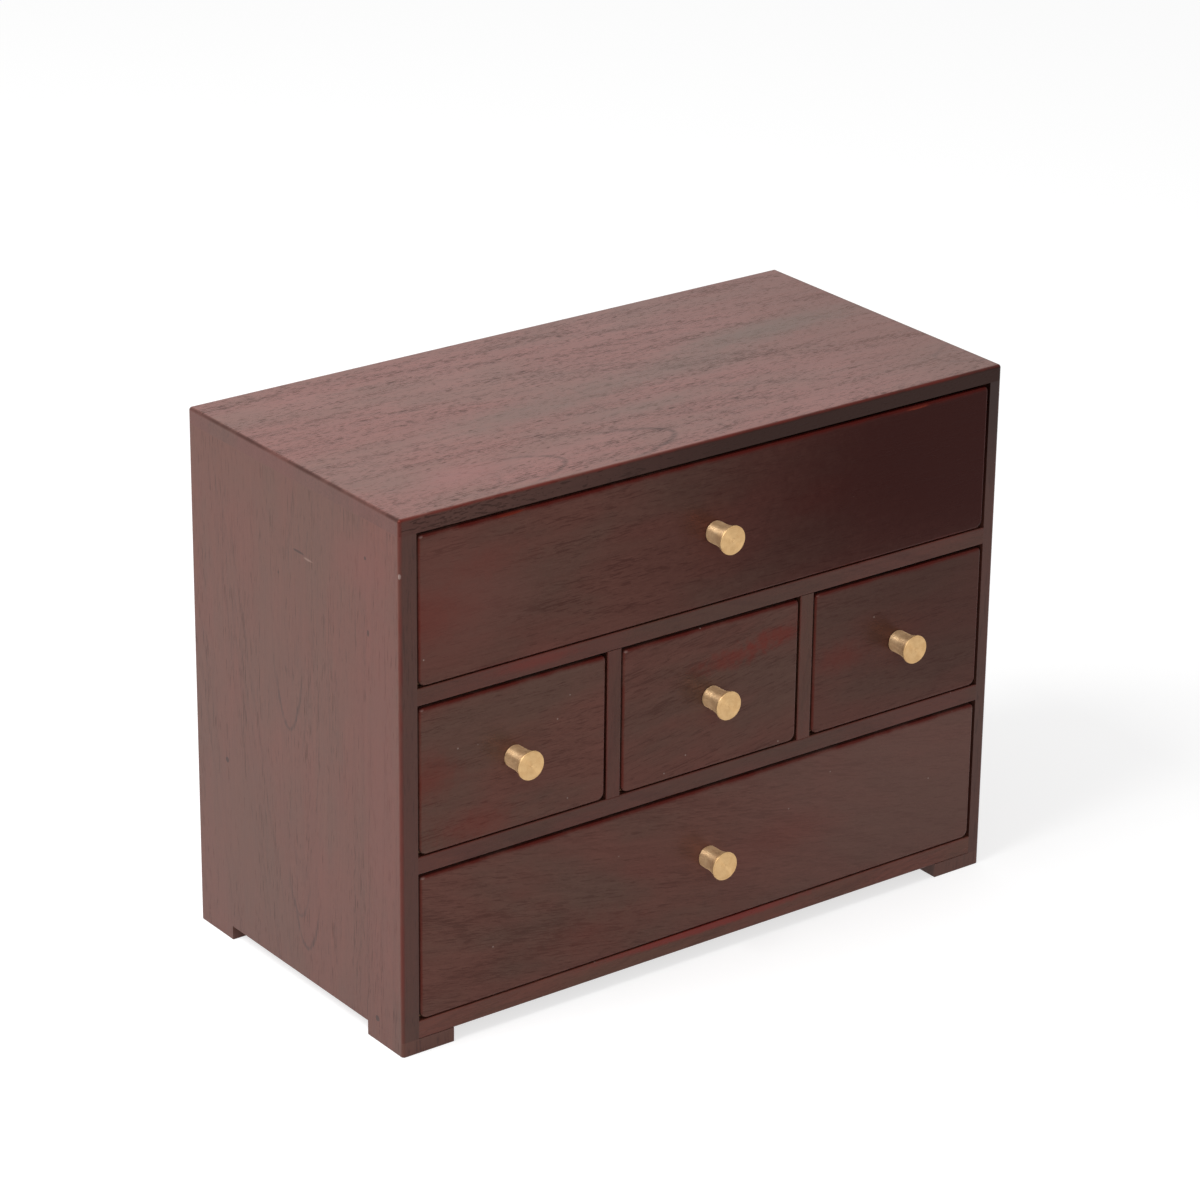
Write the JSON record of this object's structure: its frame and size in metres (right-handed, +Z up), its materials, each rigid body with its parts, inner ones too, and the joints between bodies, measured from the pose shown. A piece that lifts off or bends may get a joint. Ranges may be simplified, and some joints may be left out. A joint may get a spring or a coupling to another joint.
{
  "type": "desktop mini drawer chest",
  "caption": "Small wooden desk-top chest with inset sliding drawers in three rows, turned brass knobs and thin corner feet.",
  "frame": {"origin": "on the surface it stands on, under the middle of the whole object's box, knobs included", "axes": "+X to the right along the front, +Y to the back, +Z up; the drawers slide out along -Y"},
  "size_m": [0.305, 0.164, 0.2324],
  "materials": {
    "stained_carcass_wood": "satin lacquer",
    "stained_front_wood": "satin lacquer",
    "drawer_box_wood": "matt",
    "plywood": "matt",
    "knob_brass": "turned, bare",
    "screw_steel": "zinc plated",
    "pin_steel": "stained over"
  },
  "bodies": {
    "carcass": {"top_panel": "stained_carcass_wood", "left_side_panel": "stained_carcass_wood", "right_side_panel": "stained_carcass_wood", "bottom_panel": "stained_carcass_wood", "back_panel": "plywood", "upper_shelf": "stained_carcass_wood", "lower_shelf": "stained_carcass_wood", "left_divider": "stained_carcass_wood", "right_divider": "stained_carcass_wood", "front_left_foot": "stained_carcass_wood", "front_right_foot": "stained_carcass_wood", "back_left_foot": "stained_carcass_wood", "back_right_foot": "stained_carcass_wood", "carcass_pins": "pin_steel", "top_dowels": "drawer_box_wood", "back_panel_pins": "pin_steel"},
    "top_drawer": {"top_drawer_front": "stained_front_wood", "top_drawer_left_side": "drawer_box_wood", "top_drawer_right_side": "drawer_box_wood", "top_drawer_back": "drawer_box_wood", "top_drawer_bottom": "plywood", "top_drawer_knob": "knob_brass", "top_drawer_knob_screw": "screw_steel", "top_drawer_pins": "pin_steel"},
    "middle_left_drawer": {"middle_left_drawer_front": "stained_front_wood", "middle_left_drawer_left_side": "drawer_box_wood", "middle_left_drawer_right_side": "drawer_box_wood", "middle_left_drawer_back": "drawer_box_wood", "middle_left_drawer_bottom": "plywood", "middle_left_drawer_knob": "knob_brass", "middle_left_drawer_knob_screw": "screw_steel", "middle_left_drawer_pins": "pin_steel"},
    "middle_centre_drawer": {"middle_centre_drawer_front": "stained_front_wood", "middle_centre_drawer_left_side": "drawer_box_wood", "middle_centre_drawer_right_side": "drawer_box_wood", "middle_centre_drawer_back": "drawer_box_wood", "middle_centre_drawer_bottom": "plywood", "middle_centre_drawer_knob": "knob_brass", "middle_centre_drawer_knob_screw": "screw_steel", "middle_centre_drawer_pins": "pin_steel"},
    "middle_right_drawer": {"middle_right_drawer_front": "stained_front_wood", "middle_right_drawer_left_side": "drawer_box_wood", "middle_right_drawer_right_side": "drawer_box_wood", "middle_right_drawer_back": "drawer_box_wood", "middle_right_drawer_bottom": "plywood", "middle_right_drawer_knob": "knob_brass", "middle_right_drawer_knob_screw": "screw_steel", "middle_right_drawer_pins": "pin_steel"},
    "bottom_drawer": {"bottom_drawer_front": "stained_front_wood", "bottom_drawer_left_side": "drawer_box_wood", "bottom_drawer_right_side": "drawer_box_wood", "bottom_drawer_back": "drawer_box_wood", "bottom_drawer_bottom": "plywood", "bottom_drawer_knob": "knob_brass", "bottom_drawer_knob_screw": "screw_steel", "bottom_drawer_pins": "pin_steel"}
  },
  "joints": [
    {"name": "top_drawer_slide", "type": "slide", "parent": "carcass", "child": "top_drawer", "axis": [0, -1, 0], "range_m": [0, 0.115]},
    {"name": "middle_left_drawer_slide", "type": "slide", "parent": "carcass", "child": "middle_left_drawer", "axis": [0, -1, 0], "range_m": [0, 0.115]},
    {"name": "middle_centre_drawer_slide", "type": "slide", "parent": "carcass", "child": "middle_centre_drawer", "axis": [0, -1, 0], "range_m": [0, 0.115]},
    {"name": "middle_right_drawer_slide", "type": "slide", "parent": "carcass", "child": "middle_right_drawer", "axis": [0, -1, 0], "range_m": [0, 0.115]},
    {"name": "bottom_drawer_slide", "type": "slide", "parent": "carcass", "child": "bottom_drawer", "axis": [0, -1, 0], "range_m": [0, 0.115]}
  ]
}
